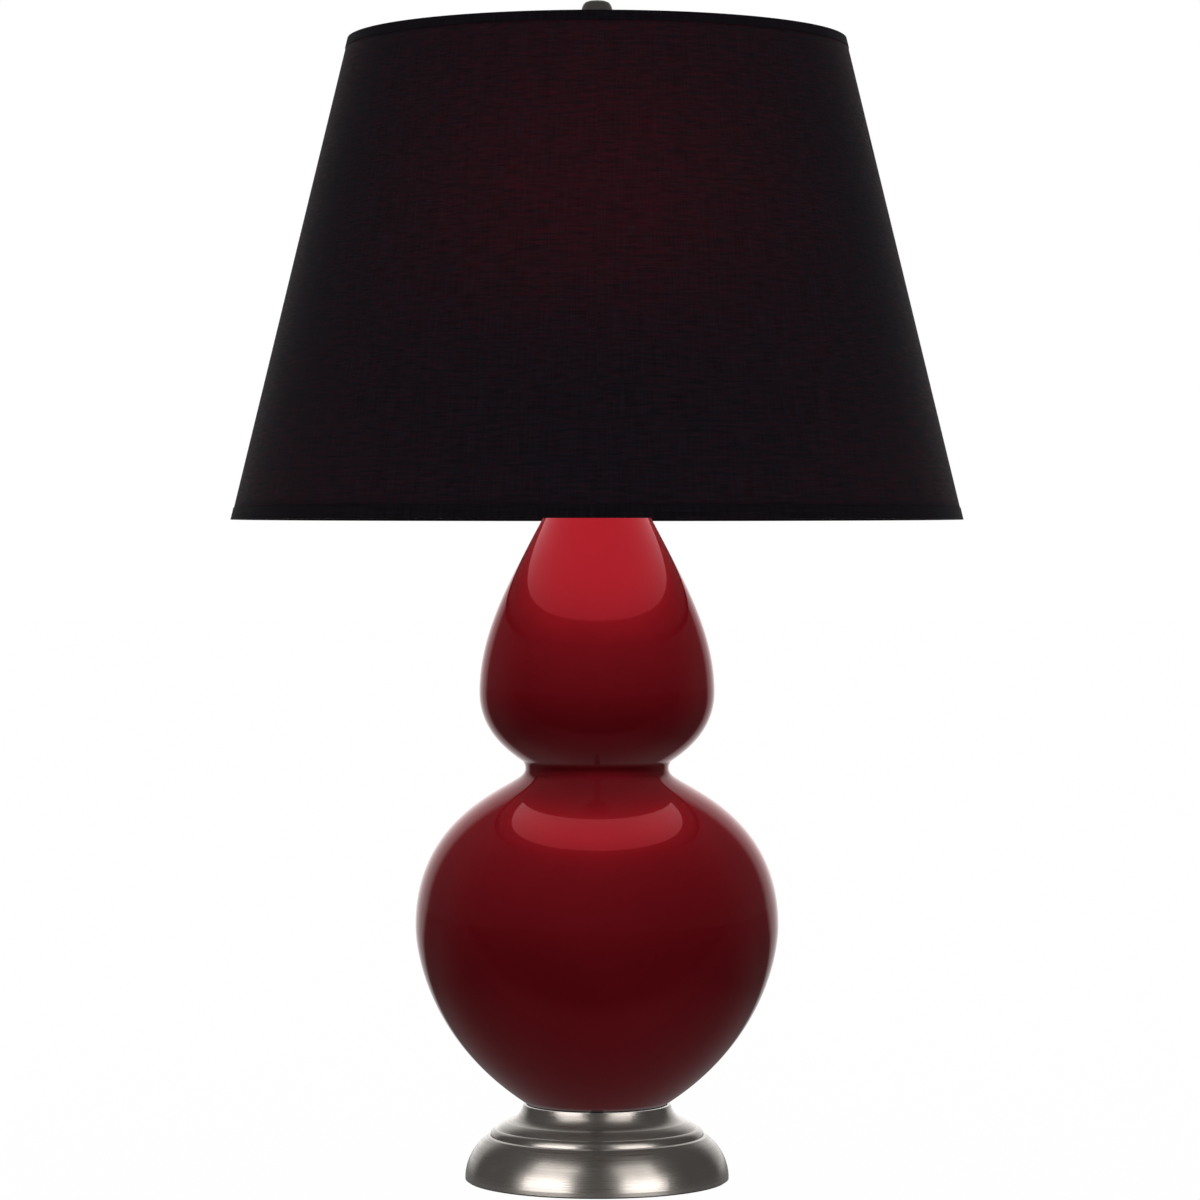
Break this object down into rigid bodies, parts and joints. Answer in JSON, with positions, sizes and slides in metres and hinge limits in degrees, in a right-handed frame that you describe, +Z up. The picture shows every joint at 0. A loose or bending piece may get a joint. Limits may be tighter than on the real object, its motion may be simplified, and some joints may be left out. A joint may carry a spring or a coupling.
{
  "type": "double gourd table lamp",
  "caption": "Table lamp with a glazed ceramic double gourd body, a stepped round metal base, a keyed bulb socket, a harp and a tapered fabric drum shade with a turned finial.",
  "frame": {"origin": "middle of the base's underside, on the surface the lamp stands on", "axes": "+Z up along the lamp's axis, +X to the right seen from the front, -Y to the front, where the switch key points"},
  "size_m": [0.4879, 0.488, 0.7874],
  "materials": {
    "felt": "pressed felt",
    "pewter": "brushed antique silver plate",
    "cast_iron": "as cast",
    "rubber": "matte",
    "zinc_steel": "zinc plated",
    "glaze": "deep ruby gloss glaze",
    "liner_paper": "fibre paper",
    "phenolic": "moulded",
    "brass": "plain",
    "solder": "tinned",
    "cap_metal": "rolled thread",
    "frosted_glass": "frosted",
    "clear_glass": "clear",
    "filament_metal": "drawn wire",
    "shade_cloth": "fine black plain weave",
    "backing_film": "translucent film",
    "shade_tape": "folded black cloth tape",
    "coated_wire": "white enamel"
  },
  "bodies": {
    "root": {"base_felt": "felt", "base_shell": "pewter", "base_weight": "cast_iron", "cord_bushing": "rubber", "rod_washer": "zinc_steel", "rod_nut": "zinc_steel", "threaded_rod": "zinc_steel", "base_gasket": "rubber", "gourd_body": "glaze", "neck_gasket": "rubber", "neck_cap": "pewter", "neck_spacer": "pewter", "socket_cap": "pewter", "socket_shell": "pewter", "socket_liner": "liner_paper", "socket_core": "phenolic", "terminal_screws": "brass", "screw_shell": "brass", "centre_contact": "brass", "harp_saddle": "pewter"},
    "switch_key": {"switch_spindle": "brass", "switch_knob": "pewter"},
    "bulb": {"bulb_contact": "solder", "bulb_insulator": "phenolic", "bulb_base": "cap_metal", "bulb_envelope": "frosted_glass", "bulb_stem": "clear_glass", "bulb_filament": "filament_metal"},
    "harp": {"harp_wire": "pewter"},
    "ferrule_l": {"ferrule_left": "pewter"},
    "ferrule_r": {"ferrule_right": "pewter"},
    "swivel": {"harp_stud": "pewter"},
    "shade": {"shade_fabric": "shade_cloth", "shade_backing": "backing_film", "shade_hem": "shade_tape", "shade_band": "shade_tape", "shade_ring_bottom": "coated_wire", "shade_ring_top": "coated_wire", "shade_spider": "pewter"},
    "finial_body": {"finial": "pewter"}
  },
  "joints": [
    {"name": "switch_turn", "type": "hinge", "parent": "root", "child": "switch_key", "pos_m": [0, -0.0196, 0.5481], "axis": [0, -1, 0], "continuous": true},
    {"name": "bulb_turn", "type": "hinge", "parent": "root", "child": "bulb", "pos_m": [0, 0, 0.5606], "axis": [0, 0, 1], "continuous": true},
    {"name": "harp_lift", "type": "slide", "parent": "root", "child": "harp", "axis": [0, 0, 1], "range_m": [0, 0.05]},
    {"name": "ferrule_left_slide", "type": "slide", "parent": "harp", "child": "ferrule_l", "axis": [0, 0, 1], "range_m": [0, 0.012]},
    {"name": "ferrule_right_slide", "type": "slide", "parent": "harp", "child": "ferrule_r", "axis": [0, 0, 1], "range_m": [0, 0.012]},
    {"name": "stud_swivel", "type": "hinge", "parent": "harp", "child": "swivel", "pos_m": [0, 0, 0.7468], "axis": [0, 0, 1], "continuous": true},
    {"name": "shade_lift", "type": "slide", "parent": "swivel", "child": "shade", "axis": [0, 0, 1], "range_m": [0, 0.34]},
    {"name": "finial_turn", "type": "hinge", "parent": "shade", "child": "finial_body", "pos_m": [0, 0, 0.7505], "axis": [0, 0, 1], "continuous": true}
  ]
}
